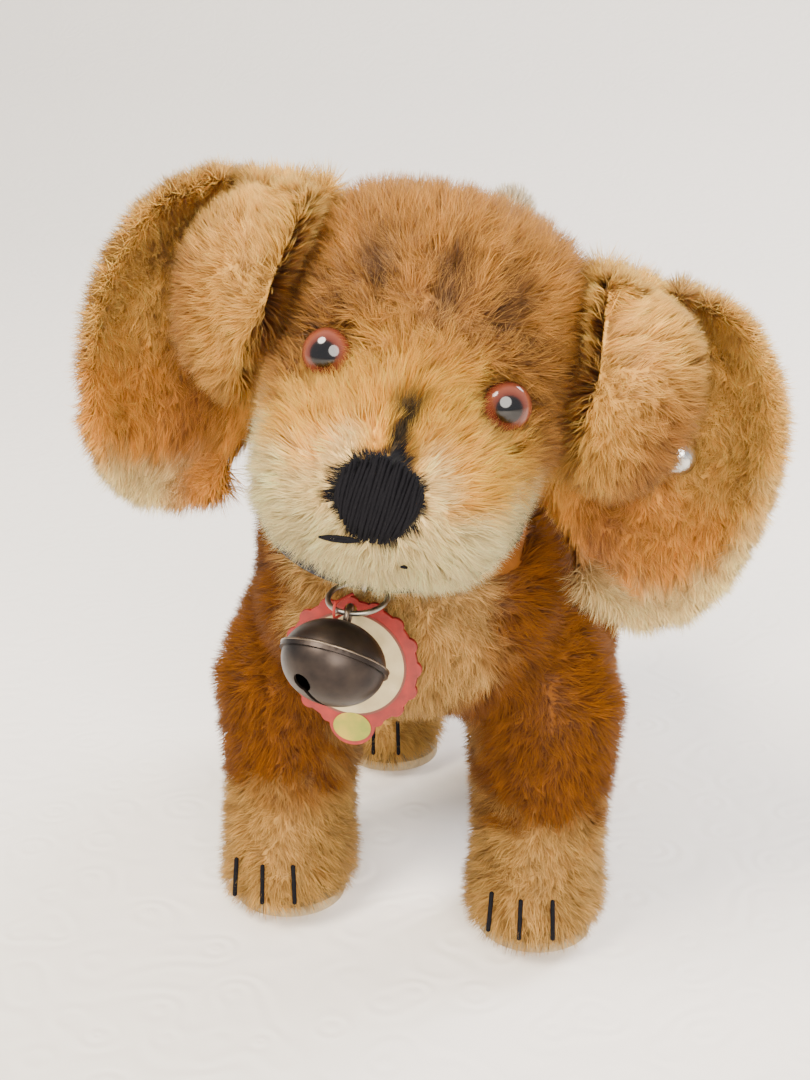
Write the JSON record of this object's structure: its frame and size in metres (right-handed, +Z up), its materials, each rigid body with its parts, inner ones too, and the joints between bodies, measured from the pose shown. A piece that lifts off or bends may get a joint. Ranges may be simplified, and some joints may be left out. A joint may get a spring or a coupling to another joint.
{
  "type": "plush dog",
  "caption": "Standing mohair toy dog with a turning disc-jointed head, two flapping folded ears, glass eyes, stitched nose, and a collar with a swinging bell and a round paper tag",
  "frame": {"origin": "on the floor, under the middle of the outer box", "axes": "+X is the dog's left, -Y the way its body faces, +Z up"},
  "size_m": [0.1094, 0.1482, 0.1388],
  "materials": {
    "mohair_body": "worn mohair plush, caramel",
    "mohair_cream": "mohair plush, cream to caramel",
    "mohair_head": "mohair plush, golden with darker shading",
    "mohair_ear": "mohair plush, tan with pale tips",
    "wood_wool": "stuffed wood wool",
    "felt": "felt",
    "thread_black": "stitched cotton thread",
    "thread_red": "cotton thread",
    "hardboard": "hardboard",
    "steel_wire": "plain steel",
    "collar_strap": "dark leather strap",
    "bell_metal": "darkened metal, worn",
    "card": "printed card, no lettering",
    "eye_glass": "polished glass, brown iris",
    "eye_back": "dark backing",
    "button": "plain metal, crimped"
  },
  "bodies": {
    "torso": {"body_side_left": "mohair_body", "body_side_right": "mohair_body", "belly_gusset": "mohair_cream", "body_stuffing": "wood_wool", "sole_front_left": "felt", "sole_front_right": "felt", "sole_rear_left": "felt", "sole_rear_right": "felt", "claws_front_left": "thread_black", "claws_front_right": "thread_black", "claws_rear_left": "thread_black", "claws_rear_right": "thread_black", "leg_wire_front": "steel_wire", "leg_wire_rear": "steel_wire", "tail_cover": "mohair_body", "tail_stuffing": "wood_wool", "neck_disc_body": "hardboard", "neck_washer_body": "steel_wire", "neck_cotter_pin": "steel_wire", "collar_strap": "collar_strap", "collar_buckle": "steel_wire", "collar_staple": "steel_wire", "collar_ring": "steel_wire", "tag_thread": "thread_red"},
    "head": {"neck_disc_head": "hardboard", "neck_washer_head": "steel_wire", "head_side_left": "mohair_head", "head_side_right": "mohair_head", "head_gusset": "mohair_head", "head_stuffing": "wood_wool", "eye_glass_left": "eye_glass", "eye_glass_right": "eye_glass", "eye_backing_left": "eye_back", "eye_backing_right": "eye_back", "eye_shank_left": "steel_wire", "eye_shank_right": "steel_wire", "nose_stitching": "thread_black", "mouth_stitching": "thread_black"},
    "ear_left": {"ear_front_left": "mohair_ear", "ear_back_left": "mohair_ear", "ear_button": "button"},
    "ear_right": {"ear_front_right": "mohair_ear", "ear_back_right": "mohair_ear"},
    "bell": {"bell_top": "bell_metal", "bell_bottom": "bell_metal", "bell_eye": "bell_metal"},
    "pellet": {"bell_pellet": "bell_metal"},
    "tag": {"tag_card": "card"}
  },
  "joints": [
    {"name": "head_swivel", "type": "hinge", "parent": "torso", "child": "head", "pos_m": [-0.00973, -0.0243, 0.086], "axis": [0.1258, -0.3284, 0.9361], "range_deg": [-45, 45]},
    {"name": "ear_left_flap", "type": "hinge", "parent": "head", "child": "ear_left", "pos_m": [0.02068, -0.02937, 0.10065], "axis": [0.265, 0.0349, 0.9636], "range_deg": [-10, 12], "stiffness_Nm_per_rad": 0.02},
    {"name": "ear_right_flap", "type": "hinge", "parent": "head", "child": "ear_right", "pos_m": [-0.02613, -0.03554, 0.11375], "axis": [0.265, 0.0349, 0.9636], "range_deg": [-12, 10], "stiffness_Nm_per_rad": 0.02},
    {"name": "bell_swing", "type": "hinge", "parent": "torso", "child": "bell", "pos_m": [-0.00919, -0.05486, 0.07315], "axis": [1, 0, 0], "range_deg": [-30, 0]},
    {"name": "pellet_rattle", "type": "slide", "parent": "bell", "child": "pellet", "axis": [0.1368, 0.6157, 0.776], "range_m": [0, 0.008]},
    {"name": "tag_swing", "type": "hinge", "parent": "torso", "child": "tag", "pos_m": [-0.01169, -0.0452, 0.06986], "axis": [0, 1, 0], "range_deg": [-20, 20]}
  ]
}
